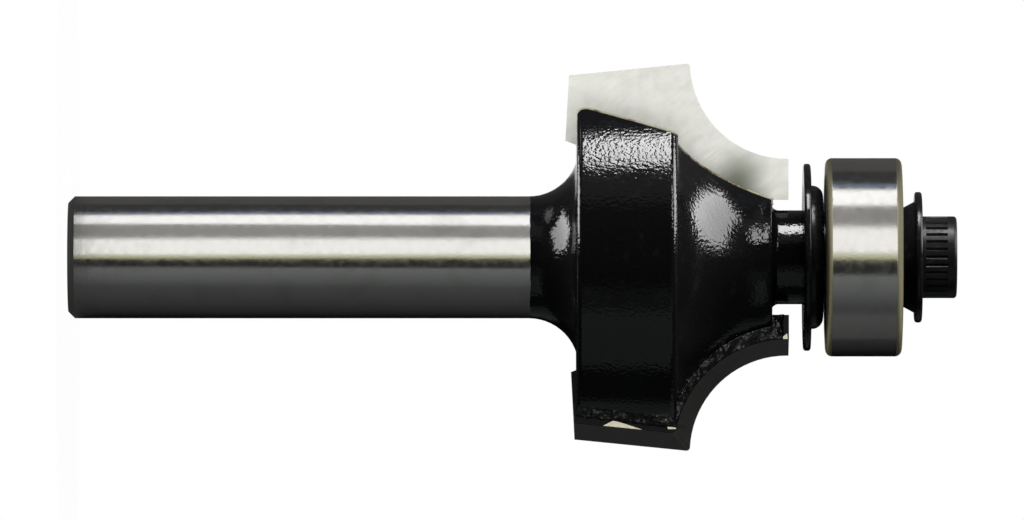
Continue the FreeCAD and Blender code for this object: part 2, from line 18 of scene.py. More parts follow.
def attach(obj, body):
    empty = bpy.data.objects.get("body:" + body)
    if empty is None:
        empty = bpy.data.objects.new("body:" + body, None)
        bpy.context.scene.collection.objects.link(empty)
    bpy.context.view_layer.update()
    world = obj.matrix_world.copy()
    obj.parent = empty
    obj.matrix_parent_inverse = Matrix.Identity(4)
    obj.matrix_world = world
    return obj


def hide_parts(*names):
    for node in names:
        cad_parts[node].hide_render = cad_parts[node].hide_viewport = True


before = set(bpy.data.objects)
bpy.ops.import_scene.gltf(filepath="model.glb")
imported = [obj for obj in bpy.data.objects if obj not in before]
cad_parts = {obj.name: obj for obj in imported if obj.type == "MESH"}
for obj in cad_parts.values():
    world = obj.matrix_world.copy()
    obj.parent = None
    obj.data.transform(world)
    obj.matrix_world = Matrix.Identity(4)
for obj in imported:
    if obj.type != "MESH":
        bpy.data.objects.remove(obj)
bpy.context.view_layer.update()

MM = 0.001
MERGE_DISTANCE = 0.0002 * MM
SLIVER_LENGTH = 0.001 * MM

Colour = tuple[float, float, float]
Skin = tuple[bpy.types.NodeSocket, bpy.types.NodeSocket, bpy.types.NodeSocket]
log = logging.getLogger("router_bit")


class Slot(Enum):
    """The coated-steel and braze material slots, which no piece here is given."""

    COATED_STEEL = "coated_steel"
    BRAZE = "braze"


class NodeBoard:
    """The node tree of one finish, with short calls for the nodes that the finishes share."""

    def __init__(self, name: str) -> None:
        """Starts an empty tree that reads Object coordinates.

        Args:
            name: the material's name.
        """
        self.material = bpy.data.materials.new(name)
        self.material.use_nodes = True
        self.tree = self.material.node_tree
        self.tree.nodes.clear()
        self.output = self.tree.nodes.new("ShaderNodeOutputMaterial")
        self.place = self.tree.nodes.new("ShaderNodeTexCoord").outputs["Object"]

    def feed(self, socket: bpy.types.NodeSocket, value: object) -> None:
        """Links a socket's source, or sets its plain value.

        Args:
            socket: the input to fill.
            value: an output socket, a number or a colour.
        """
        if isinstance(value, bpy.types.NodeSocket):
            self.tree.links.new(value, socket)
        elif isinstance(value, tuple) and len(value) == 3 and socket.type == "RGBA":
            socket.default_value = (*value, 1.0)
        else:
            socket.default_value = value

    def node(self, kind: str, inputs: dict[str | int, object], **settings: object) -> bpy.types.Node:
        """Adds one node.

        Args:
            kind: the node's type name.
            inputs: its inputs by name or place.
            settings: its plain properties.

        Returns:
            The node.
        """
        made = self.tree.nodes.new(kind)
        for name, value in settings.items():
            setattr(made, name, value)
        for name, value in inputs.items():
            self.feed(made.inputs[name], value)
        return made

    def math(self, operation: str, first: object, second: object = 0.0) -> bpy.types.NodeSocket:
        """Returns the result of one Math node."""
        return self.node("ShaderNodeMath", {0: first, 1: second}, operation=operation).outputs[0]

    def mapped(self, stretch: Vector, turn: Vector = Vector()) -> bpy.types.NodeSocket:
        """Turns and stretches the Object coordinates.

        Args:
            stretch: the scale along each axis, after the turn.
            turn: the turn about each axis, in radians.

        Returns:
            The vector socket.
        """
        turned = self.node("ShaderNodeMapping", {"Vector": self.place, "Rotation": turn}).outputs[0]
        return self.node("ShaderNodeMapping", {"Vector": turned, "Scale": stretch}).outputs[0]

    def noise(
        self,
        size: float,
        detail: float = 2.0,
        stretch: Vector = Vector((1, 1, 1)),
        turn: Vector = Vector(),
    ) -> bpy.types.NodeSocket:
        """Adds a noise pattern.

        Args:
            size: the length of one feature, in metres.
            detail: how many finer layers it has.
            stretch: how much finer it is along each axis.
            turn: the turn of the pattern, in radians.

        Returns:
            The factor socket, about 0 to 1.
        """
        inputs = {"Vector": self.mapped(stretch, turn), "Scale": 1.0 / size, "Detail": detail}
        return self.node("ShaderNodeTexNoise", inputs).outputs[0]

    def remap(
        self, value: object, source: tuple[float, float], target: tuple[float, float] = (0.0, 1.0)
    ) -> bpy.types.NodeSocket:
        """Maps one range on another, smoothly and clamped.

        Args:
            value: the socket to map.
            source: its low and high ends.
            target: what they become.

        Returns:
            The mapped socket.
        """
        inputs = {0: value, 1: source[0], 2: source[1], 3: target[0], 4: target[1]}
        return self.node("ShaderNodeMapRange", inputs, interpolation_type="SMOOTHSTEP").outputs[0]

    def blend(self, factor: object, low: object, high: object) -> bpy.types.NodeSocket:
        """Returns a colour that goes from low to high with the factor."""
        mixed = self.node("ShaderNodeMix", {0: factor, 6: low, 7: high}, data_type="RGBA")
        return mixed.outputs[2]

    def bump(
        self, height: object, depth: float, below: bpy.types.NodeSocket | None = None
    ) -> bpy.types.NodeSocket:
        """Adds a bump layer.

        Args:
            height: the relief, 0 to 1.
            depth: what a relief of 1 is in metres.
            below: the normal of the layer under it.

        Returns:
            The normal socket.
        """
        inputs: dict[str | int, object] = {"Height": height, "Distance": depth, "Strength": 1.0}
        if below is not None:
            inputs["Normal"] = below
        return self.node("ShaderNodeBump", inputs).outputs[0]

    def finish(self, **inputs: object) -> bpy.types.Material:
        """Adds the Principled shader and ends the tree.

        Args:
            inputs: the shader's inputs, with _ for a space.

        Returns:
            The material.
        """
        named = {name.replace("_", " "): value for name, value in inputs.items()}
        if "Specular IOR" in named:
            named["Specular IOR Level"] = named.pop("Specular IOR")
        shader = self.node("ShaderNodeBsdfPrincipled", named)
        self.tree.links.new(shader.outputs[0], self.output.inputs[0])
        return self.material


@dataclass(frozen=True)
class GroundSteel:
    """Centreless-ground bright steel: fine rings round the axis and a few faint stains."""

    name: str = "ground_steel"
    colour: Colour = (0.69, 0.68, 0.66)
    stain: Colour = (0.56, 0.55, 0.52)
    roughness: tuple[float, float] = (0.13, 0.20)
    stain_size: float = 2.6 * MM
    stain_share: float = 0.5
    haze_size: float = 0.5 * MM
    ring_width: float = 0.09 * MM
    ring_depth: float = 0.0006 * MM
    fleck_size: float = 0.14 * MM
    fleck_depth: float = 0.0022 * MM
    wave_length: float = 11.0 * MM
    wave_depth: float = 0.10 * MM

    def parts(self, board: NodeBoard) -> Skin:
        """Makes the steel's colour, roughness and normal.

        Args:
            board: the tree to make them in.

        Returns:
            The three sockets.
        """
        stains = board.remap(board.noise(self.stain_size, 5.0), (0.50, 0.72))
        rings = board.noise(self.ring_width, 2.0, Vector((0.02, 0.02, 1.0)))
        flecks = board.noise(self.fleck_size, 3.0, Vector((1.0, 1.0, 0.6)))
        stain_and_shade = board.math("MULTIPLY", stains, self.stain_share)
        colour = board.blend(stain_and_shade, self.colour, self.stain)
        roughness = board.remap(board.noise(self.haze_size, 4.0), (0.3, 0.7), self.roughness)
        normal = board.bump(board.noise(self.wave_length, 0.0), self.wave_depth)
        normal = board.bump(rings, self.ring_depth, normal)
        return colour, roughness, board.bump(flecks, self.fleck_depth, normal)

    def material(self) -> bpy.types.Material:
        """Makes the material."""
        board = NodeBoard(self.name)
        colour, roughness, normal = self.parts(board)
        return board.finish(Base_Color=colour, Metallic=1.0, Roughness=roughness, Normal=normal)


@dataclass(frozen=True)
class BearingSteel(GroundSteel):
    """Ground bearing steel whose rounded edges stay as they were tumbled, dull and straw-coloured."""

    name: str = "bearing_steel"
    ring_depth: float = 0.0009 * MM
    middle: float = 52.06 * MM
    ground_half: float = 2.08 * MM
    edge_blur: float = 0.05 * MM
    edge_colour: Colour = (0.50, 0.46, 0.33)
    edge_roughness: float = 0.46
    tumble_size: float = 0.25 * MM

    def material(self) -> bpy.types.Material:
        """Makes the material."""
        board = NodeBoard(self.name)
        colour, roughness, normal = self.parts(board)
        height = board.node("ShaderNodeSeparateXYZ", {0: board.place}).outputs[2]
        away = board.math("ABSOLUTE", board.math("SUBTRACT", height, self.middle))
        edge = board.remap(away, (self.ground_half, self.ground_half + self.edge_blur))
        tumbled = board.remap(board.noise(self.tumble_size, 4.0), (0.3, 0.7), (0.8, 1.0))
        worn = board.math("MULTIPLY", edge, tumbled)
        rough = board.node("ShaderNodeMix", {0: edge, 2: roughness, 3: self.edge_roughness}).outputs[0]
        return board.finish(
            Base_Color=board.blend(worn, colour, self.edge_colour),
            Metallic=1.0,
            Roughness=rough,
            Normal=normal,
        )


@dataclass(frozen=True)
class BlackCoat:
    """Baked black coating with an orange-peel skin, over the head and neck."""

    name: str = "black_coat"
    colour: Colour = (0.003, 0.003, 0.0033)
    dusty: Colour = (0.006, 0.006, 0.006)
    roughness: tuple[float, float] = (0.08, 0.14)
    dust_size: float = 0.9 * MM
    haze_size: float = 0.7 * MM
    peel_size: float = 0.21 * MM
    peel_depth: float = 0.020 * MM
    peel_stretch: float = 0.85
    specular: float = 0.22

    def parts(self, board: NodeBoard) -> Skin:
        """Makes the coat's colour, roughness and normal.

        Args:
            board: the tree to make them in.

        Returns:
            The three sockets.
        """
        dust = board.remap(board.noise(self.dust_size, 6.0), (0.55, 0.8))
        colour = board.blend(dust, self.colour, self.dusty)
        roughness = board.remap(board.noise(self.haze_size, 3.0), (0.35, 0.65), self.roughness)
        peel = board.noise(self.peel_size, 1.0, Vector((1.0, 1.0, self.peel_stretch)))
        return colour, roughness, board.bump(peel, self.peel_depth)

    def material(self) -> bpy.types.Material:
        """Makes the material."""
        board = NodeBoard(self.name)
        colour, roughness, normal = self.parts(board)
        return board.finish(
            Base_Color=colour, Roughness=roughness, Normal=normal, Specular_IOR=self.specular
        )


@dataclass(frozen=True)
class GroundCarbide:
    """Sintered carbide with the slanting marks of a diamond wheel."""

    name: str = "ground_carbide"
    colour: Colour = (0.765, 0.765, 0.715)
    shade: Colour = (0.70, 0.70, 0.66)
    # Painted shade: a dark patch on the rake face near the black body, standing in for the body's shade
    # and dark reflection there.
    painted_shade: Colour = (0.17, 0.185, 0.14)
    painted_shade_place: tuple[float, float] = (5.1 * MM, 43.9 * MM)
    painted_shade_reach: float = 2.7 * MM
    # Painted shade: the flank is given a darker colour, standing in for the dark surroundings that it
    # reflects.
    flank: Colour = (0.50, 0.50, 0.48)
    flank_shade_start: float = 0.03 * MM
    flank_shade_full: float = 0.10 * MM
    painted: Colour = (0.006, 0.006, 0.0065)
    paint_start: float = 1.76 * MM
    paint_full: float = 1.83 * MM
    paint_ragged: float = 0.12 * MM
    rag_size: float = 0.5 * MM
    cloud_size: float = 0.9 * MM
    roughness: tuple[float, float] = (0.32, 0.38)
    mark_width: float = 0.10 * MM
    mark_depth: float = 0.0002 * MM
    mark_slant: float = math.radians(38)

    def material(self) -> bpy.types.Material:
        """Makes the material: ground faces with painted shade near the black body and on the flank, and
        black paint over the plate's back.
        """
        board = NodeBoard(self.name)
        place = board.node("ShaderNodeSeparateXYZ", {0: board.place}).outputs
        slant = Vector((0.0, self.mark_slant, 0.0))
        marks = board.noise(self.mark_width, 3.0, Vector((1.0, 0.05, 0.05)), slant)
        cloud = board.remap(board.noise(self.cloud_size, 8.0), (0.35, 0.70))
        colour = board.blend(cloud, self.colour, self.shade)
        # Painted shade: darken the rake face round one place near the black body, fading out with
        # distance.
        across = board.math("SUBTRACT", board.math("ABSOLUTE", place[0]), self.painted_shade_place[0])
        along = board.math("SUBTRACT", place[2], self.painted_shade_place[1])
        squares = [board.math("POWER", part, 2.0) for part in (across, along)]
        away = board.math("SQRT", board.math("ADD", *squares))
        stain_and_shade = board.remap(away, (0.0, self.painted_shade_reach), (0.95, 0.0))
        colour = board.blend(stain_and_shade, colour, self.painted_shade)
        behind = board.math("ABSOLUTE", place[1])
        # Painted shade: darken the flank, away from the rake face, for the dark surroundings that it
        # reflects.
        painted_flank_shade = board.remap(behind, (self.flank_shade_start, self.flank_shade_full))
        colour = board.blend(painted_flank_shade, colour, self.flank)
        ragged = board.math("MULTIPLY", board.noise(self.rag_size, 4.0), self.paint_ragged)
        depth = board.math("ADD", behind, ragged)
        paint = board.remap(depth, (self.paint_start, self.paint_full))
        roughness = board.remap(marks, (0.35, 0.65), self.roughness)
        return board.finish(
            Base_Color=board.blend(paint, colour, self.painted),
            Metallic=board.math("SUBTRACT", 1.0, paint),
            Roughness=roughness,
            Normal=board.bump(marks, self.mark_depth),
            Specular_IOR=0.12,
        )


@dataclass(frozen=True)
class SilverBraze:
    """Silver solder: bare, or painted over in its lumps with a few bare crests."""

    name: str = "painted_braze"
    bare: Colour = (0.50, 0.47, 0.37)
    painted: Colour = (0.006, 0.006, 0.0065)
    bare_share: tuple[float, float] = (0.64, 0.72)
    patch: float = 0.3 * MM
    grain: float = 0.13 * MM
    depth: float = 0.045 * MM
    roughness: tuple[float, float] = (0.14, 0.30)

    def material(self) -> bpy.types.Material:
        """Makes the material."""
        board = NodeBoard(self.name)
        shown = board.remap(board.noise(self.patch, 3.0), self.bare_share)
        grain = board.noise(self.grain, 3.0)
        return board.finish(
            Base_Color=board.blend(shown, self.painted, self.bare),
            Metallic=shown,
            Roughness=board.remap(grain, (0.3, 0.7), self.roughness),
            Normal=board.bump(grain, self.depth),
            Specular_IOR=0.9,
        )


@dataclass(frozen=True)
class EdgeLine:
    """A thin pale line along the steel's edge: straw-coloured, browned in places."""

    name: str = "edge_line"
    straw: Colour = (1.0, 0.96, 0.68)
    browned: Colour = (0.36, 0.23, 0.09)
    patch: float = 1.1 * MM
    grain: float = 0.12 * MM
    roughness: tuple[float, float] = (0.35, 0.5)

    def material(self) -> bpy.types.Material:
        """Makes the material."""
        board = NodeBoard(self.name)
        heat = board.remap(board.noise(self.patch, 4.0), (0.53, 0.68))
        return board.finish(
            Base_Color=board.blend(heat, self.straw, self.browned),
            Metallic=0.15,
            Roughness=board.remap(board.noise(self.grain, 2.0), (0.3, 0.7), self.roughness),
        )


@dataclass(frozen=True)
class BlackOxide:
    """Blackened steel with fine turning marks."""

    name: str = "black_oxide"
    colour: Colour = (0.0045, 0.0045, 0.005)
    worn: Colour = (0.012, 0.0115, 0.011)
    roughness: tuple[float, float] = (0.16, 0.27)
    mark_width: float = 0.12 * MM
    mark_depth: float = 0.0012 * MM
    wear_size: float = 0.6 * MM
    skin_size: float = 0.3 * MM
    skin_depth: float = 0.0018 * MM
    dull_radius: float = 4.76 * MM
    dull_blur: float = 0.1 * MM
    dullness: float = 0.16

    def material(self) -> bpy.types.Material:
        """Makes the material: the flanges' rims keep a shine that the bosses inside them lack."""
        board = NodeBoard(self.name)
        place = board.node("ShaderNodeSeparateXYZ", {0: board.place}).outputs
        squares = [board.math("MULTIPLY", part, part) for part in (place[0], place[1])]
        radius = board.math("SQRT", board.math("ADD", *squares))
        rim = (self.dull_radius, self.dull_radius + self.dull_blur)
        dull = board.remap(radius, rim, (self.dullness, 0.0))
        marks = board.noise(self.mark_width, 2.0, Vector((0.05, 0.05, 1.0)))
        wear = board.remap(board.noise(self.wear_size, 5.0), (0.56, 0.76))
        skin = board.noise(self.skin_size, 3.0)
        return board.finish(
            Base_Color=board.blend(wear, self.colour, self.worn),
            Roughness=board.math("ADD", board.remap(skin, (0.3, 0.7), self.roughness), dull),
            Normal=board.bump(skin, self.skin_depth, board.bump(marks, self.mark_depth)),
            Specular_IOR=0.15,
        )


@dataclass(frozen=True)
class SealRubber:
    """Matt black rubber of the bearing's seals."""

    name: str = "seal_rubber"
    colour: Colour = (0.008, 0.008, 0.0085)
    dusty: Colour = (0.02, 0.02, 0.019)
    roughness: tuple[float, float] = (0.45, 0.62)
    dust_size: float = 1.1 * MM
    grain_size: float = 0.16 * MM
    grain_depth: float = 0.006 * MM

    def material(self) -> bpy.types.Material:
        """Makes the material."""
        board = NodeBoard(self.name)
        grain = board.noise(self.grain_size, 4.0)
        dust = board.remap(board.noise(self.dust_size, 4.0), (0.5, 0.8))
        return board.finish(
            Base_Color=board.blend(dust, self.colour, self.dusty),
            Roughness=board.remap(grain, (0.3, 0.7), self.roughness),
            Normal=board.bump(grain, self.grain_depth),
            Specular_IOR=0.3,
        )


@dataclass(frozen=True)
class CagePolymer:
    """Glass-filled nylon of the ball cage."""

    name: str = "cage_polymer"
    colour: Colour = (0.52, 0.45, 0.31)
    pale: Colour = (0.60, 0.53, 0.38)
    roughness: tuple[float, float] = (0.4, 0.55)
    fibre_size: float = 0.08 * MM
    fibre_depth: float = 0.003 * MM

    def material(self) -> bpy.types.Material:
        """Makes the material."""
        board = NodeBoard(self.name)
        fibres = board.noise(self.fibre_size, 3.0, Vector((1.0, 1.0, 0.3)))
        return board.finish(
            Base_Color=board.blend(fibres, self.colour, self.pale),
            Roughness=board.remap(fibres, (0.3, 0.7), self.roughness),
            Normal=board.bump(fibres, self.fibre_depth),
        )


@dataclass(frozen=True)
class PaleFloor:
    """A white floor that shows as the background does but keeps a soft shadow."""

    name: str = "pale_floor"
    colour: Colour = (0.34, 0.34, 0.34)
    speckled: Colour = (0.31, 0.31, 0.31)
    speck_size: float = 1.5 * MM
    glow: float = 0.96
    mirrored_glow: float = 0.02

    def material(self) -> bpy.types.Material:
        """Makes the material."""
        board = NodeBoard(self.name)
        speck = board.remap(board.noise(self.speck_size, 3.0), (0.3, 0.7), (0.97, 1.0))
        tint = board.blend(speck, self.speckled, self.colour)
        path = board.tree.nodes.new("ShaderNodeLightPath").outputs
        mirrored = board.math("MAXIMUM", path["Is Glossy Ray"], path["Is Transmission Ray"])
        seen = board.math("MULTIPLY", path["Is Camera Ray"], self.glow)
        glow = board.math("ADD", seen, board.math("MULTIPLY", mirrored, self.mirrored_glow))
        matt = board.node("ShaderNodeBsdfDiffuse", {"Color": tint}).outputs[0]
        white = board.node("ShaderNodeEmission", {"Color": (1, 1, 1), "Strength": glow}).outputs[0]
        mixed = board.node("ShaderNodeAddShader", {0: matt, 1: white}).outputs[0]
        board.tree.links.new(mixed, board.output.inputs[0])
        return board.material


class Lit(Flag):
    """Which of the bit's surfaces a lamp lights."""

    SHANK = auto()
    BEARING = auto()
    BRIGHT = SHANK | BEARING
    COATED = auto()
    CARBIDE = auto()


@dataclass
class LightCard:
    """A curved card beside the bit, parallel to its axis, that glows evenly.

    Angles go round the axis from the camera's side, in degrees, and rise towards the upper wing.
    """

    name: str
    start: float
    stop: float
    glow: float
    tint: Colour = (1.0, 1.0, 1.0)
    stop_glow: float | None = None
    low: float = -150 * MM
    high: float = 300 * MM
    distance: float = 320 * MM
    step: float = 6.0

    def build(self) -> bpy.types.Object:
        """Builds the card from one upright edge, spun round the axis.

        Returns:
            The card, which the camera doesn't see.
        """
        mesh = bmesh.new()
        edge = [mesh.verts.new((0.0, -self.distance, z)) for z in (self.low, self.high)]
        line = mesh.edges.new(edge)
        first = Matrix.Rotation(math.radians(-self.start), 4, "Z")
        bmesh.ops.transform(mesh, matrix=first, verts=mesh.verts)
        sweep = math.radians(self.stop - self.start)
        steps = max(2, math.ceil(math.degrees(sweep) / self.step))
        bmesh.ops.spin(
            mesh, geom=[*edge, line], cent=(0, 0, 0), axis=(0, 0, -1), angle=sweep, steps=steps
        )
        return unseen_card(self.name, mesh, self.shader(NodeBoard(self.name)))

    def shader(self, board: NodeBoard) -> NodeBoard:
        """Gives the card its glow, which may fade from one edge to the other.

        Args:
            board: an empty tree.

        Returns:
            The tree, ended.
        """
        if self.stop_glow is None:
            return glowing(board, self.glow, self.tint)
        across = board.node("ShaderNodeSeparateXYZ", {0: board.place}).outputs
        toward = board.math("MULTIPLY", across[1], -1.0)
        angle = board.math("ARCTAN2", board.math("MULTIPLY", across[0], -1.0), toward)
        ends = {1: math.radians(self.start), 2: math.radians(self.stop), 3: self.glow, 4: self.stop_glow}
        fade = board.node("ShaderNodeMapRange", {0: angle, **ends}).outputs[0]
        return glowing(board, fade, self.tint)


@dataclass
class EndCard:
    """A half disc across one end of the ring of cards."""

    name: str
    height: float
    middle: float
    glow: float
    radius: float = 330 * MM

    def build(self) -> bpy.types.Object:
        """Builds the half disc from a whole one, cut through the axis.

        Returns:
            The card, which the camera doesn't see.
        """
        mesh = bmesh.new()
        bmesh.ops.create_circle(mesh, cap_ends=True, segments=48, radius=self.radius)
        way = Matrix.Rotation(math.radians(-self.middle), 3, "Z") @ Vector((0, -1, 0))
        geometry = [*mesh.verts, *mesh.edges, *mesh.faces]
        bmesh.ops.bisect_plane(
            mesh, geom=geometry, plane_co=(0, 0, 0), plane_no=way, clear_inner=True
        )
        bmesh.ops.translate(mesh, verts=mesh.verts, vec=(0, 0, self.height))
        return unseen_card(self.name, mesh, glowing(NodeBoard(self.name), self.glow))


@dataclass
class StripLamp:
    """A long soft lamp beside the bit, parallel to its axis."""

    name: str
    start: float
    stop: float
    glow: float
    lit: Lit
    tint: Colour = (1.0, 1.0, 1.0)
    low: float = -110 * MM
    high: float = 210 * MM
    distance: float = 300 * MM

    def build(self) -> bpy.types.Object:
        """Sets the lamp square to the axis, with the power that gives its glow.

        Returns:
            The lamp.
        """
        data = bpy.data.lights.new(self.name, "AREA")
        data.shape = "RECTANGLE"
        data.size = 2 * self.distance * math.tan(math.radians(self.stop - self.start) / 2)
        data.size_y = self.high - self.low
        data.energy = self.glow * math.pi * data.size * data.size_y
        data.color = self.tint
        lamp = bpy.data.objects.new(self.name, data)
        bpy.context.scene.collection.objects.link(lamp)
        turn = Matrix.Rotation(math.radians(-(self.start + self.stop) / 2), 4, "Z")
        place = turn @ Vector((0, -self.distance, (self.low + self.high) / 2))
        facing = turn @ Matrix.Rotation(math.pi / 2, 4, "X")
        lamp.matrix_world = Matrix.Translation(place) @ facing
        lamp.visible_camera = False
        return lamp


@dataclass
class EndLamp:
    """A level soft lamp over or under the bit.

    Near and far lie towards the upper wing, front towards the camera.
    """

    name: str
    height: float
    near: float
    far: float
    back: float
    front: float
    glow: float
    lit: Lit
    faces_up: bool = False
    tint: Colour = (1.0, 1.0, 1.0)

    def build(self) -> bpy.types.Object:
        """Sets the lamp level, facing along the axis.

        Returns:
            The lamp.
        """
        data = bpy.data.lights.new(self.name, "AREA")
        data.shape = "RECTANGLE"
        data.size = self.far - self.near
        data.size_y = self.front + self.back
        data.energy = self.glow * math.pi * data.size * data.size_y
        data.color = self.tint
        lamp = bpy.data.objects.new(self.name, data)
        bpy.context.scene.collection.objects.link(lamp)
        lamp.location = (-(self.near + self.far) / 2, (self.back - self.front) / 2, self.height)
        if self.faces_up:
            lamp.rotation_euler = (math.pi, 0.0, 0.0)
        lamp.visible_camera = False
        return lamp


def glowing(board: NodeBoard, glow: object, tint: Colour = (1.0, 1.0, 1.0)) -> NodeBoard:
    """Ends a tree with an even glow, or with matt black for a flag.

    Args:
        board: the tree.
        glow: how bright it is, where 1 is white, or 0 for a flag.
        tint: its colour.

    Returns:
        The tree.
    """
    if glow == 0:
        shader = board.node("ShaderNodeBsdfDiffuse", {"Color": (0.01, 0.01, 0.01)})
    else:
        shader = board.node("ShaderNodeEmission", {"Color": tint, "Strength": glow})
    board.tree.links.new(shader.outputs[0], board.output.inputs[0])
    return board


def unseen_card(name: str, mesh: bmesh.types.BMesh, board: NodeBoard) -> bpy.types.Object:
    """Turns a finished bmesh into a card that the camera doesn't see.

    Args:
        name: the card's name.
        mesh: its shape.
        board: its finish.

    Returns:
        The card.
    """
    card = new_object(name, mesh)
    card.data.materials.append(board.material)
    card.visible_camera = False
    return card


def new_object(name: str, mesh: bmesh.types.BMesh) -> bpy.types.Object:
    """Turns a finished bmesh into an object at the origin.

    Args:
        name: the object's name.
        mesh: the bmesh, which is freed.

    Returns:
        The object.
    """
    data = bpy.data.meshes.new(name)
    mesh.to_mesh(data)
    mesh.free()
    made = bpy.data.objects.new(name, data)
    bpy.context.scene.collection.objects.link(made)
    return made


def merged_copy(node: str) -> bmesh.types.BMesh:
    """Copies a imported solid's mesh with its loose triangles joined.

    Args:
        node: the node.

    Returns:
        The bmesh, closed.
    """
    mesh = bmesh.new()
    mesh.from_mesh(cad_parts[node].data)
    bmesh.ops.remove_doubles(mesh, verts=mesh.verts, dist=MERGE_DISTANCE)
    bmesh.ops.dissolve_degenerate(mesh, edges=mesh.edges, dist=SLIVER_LENGTH)
    return mesh


def finished_piece(
    name: str,
    mesh: bmesh.types.BMesh,
    finish: bpy.types.Material,
    node: str,
    is_sharp: Callable[[bmesh.types.BMEdge], bool],
) -> bpy.types.Object:
    """Makes a smooth-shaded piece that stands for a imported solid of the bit.

    Args:
        name: the piece's name.
        mesh: its shape.
        finish: its material.
        node: the node that it stands for.
        is_sharp: tells whether an edge stays sharp.

    Returns:
        The piece, riding with the bit.
    """
    for face in mesh.faces:
        face.smooth = True
    for edge in mesh.edges:
        edge.smooth = not is_sharp(edge)
    piece = new_object(name, mesh)
    piece.data.materials.clear()
    piece.data.materials.append(finish)
    shading = piece.modifiers.new("shading", "WEIGHTED_NORMAL")
    shading.keep_sharp = True
    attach(piece, "bit")
    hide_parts(node)
    log.info("built %s in place of %s", name, node)
    return piece


def run_length(run: list[Vector]) -> float:
    """Returns how long a run of places is."""
    return sum((end - start).length for start, end in zip(run, run[1:]))


def dress(names: list[str], finish: bpy.types.Material) -> list[bpy.types.Object]:
    """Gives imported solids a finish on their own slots.

    Args:
        names: the nodes.
        finish: the material.

    Returns:
        The nodes' objects.
    """
    for name in names:
        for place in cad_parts[name].material_slots:
            place.material = finish
        log.info("dressed %s with %s", name, finish.name)
    return [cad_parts[name] for name in names]


